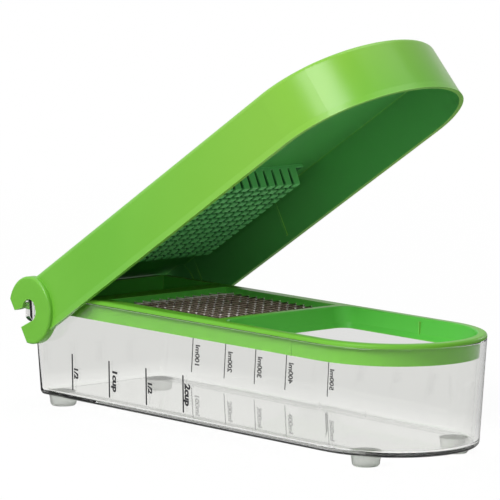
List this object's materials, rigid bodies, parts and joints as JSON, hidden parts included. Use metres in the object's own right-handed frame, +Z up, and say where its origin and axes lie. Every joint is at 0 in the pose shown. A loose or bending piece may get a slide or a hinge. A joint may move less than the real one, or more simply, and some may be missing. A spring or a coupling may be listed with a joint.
{
  "type": "press vegetable chopper",
  "caption": "Hand press chopper: clear measuring container, tray with a crossed steel blade grid, and a hinged lid whose pin pad pushes food through the blades.",
  "frame": {"origin": "on the table under the middle of the outline, lid open", "axes": "+X along the object from the hinge to the rounded front, +Z up, -Y towards the right-hand side"},
  "size_m": [0.2786, 0.098, 0.1942],
  "materials": {
    "clear_plastic": "clear, polished",
    "green_plastic": "satin gloss",
    "pin_plastic": "satin gloss",
    "blade_steel": "bright rolled strip",
    "foot_rubber": "soft, translucent"
  },
  "bodies": {
    "base": {"container": "clear_plastic", "foot_rear_right": "foot_rubber", "foot_rear_left": "foot_rubber", "foot_front_right": "foot_rubber", "foot_front_left": "foot_rubber", "tray": "green_plastic", "long_blade_01": "blade_steel", "long_blade_02": "blade_steel", "long_blade_03": "blade_steel", "long_blade_04": "blade_steel", "long_blade_05": "blade_steel", "long_blade_06": "blade_steel", "long_blade_07": "blade_steel", "long_blade_08": "blade_steel", "long_blade_09": "blade_steel", "long_blade_10": "blade_steel", "long_blade_11": "blade_steel", "long_blade_12": "blade_steel", "long_blade_13": "blade_steel", "cross_blade_01": "blade_steel", "cross_blade_02": "blade_steel", "cross_blade_03": "blade_steel", "cross_blade_04": "blade_steel", "cross_blade_05": "blade_steel", "cross_blade_06": "blade_steel", "cross_blade_07": "blade_steel", "cross_blade_08": "blade_steel", "cross_blade_09": "blade_steel", "cross_blade_10": "blade_steel", "cross_blade_11": "blade_steel", "cross_blade_12": "blade_steel", "cross_blade_13": "blade_steel"},
    "lid": {"lid": "green_plastic", "pusher_pad": "pin_plastic"}
  },
  "joints": [
    {"name": "lid_hinge", "type": "hinge", "parent": "base", "child": "lid", "pos_m": [-0.12289, 0, 0.0488], "axis": [0, -1, 0], "range_deg": [-30.5, 74.5]}
  ]
}
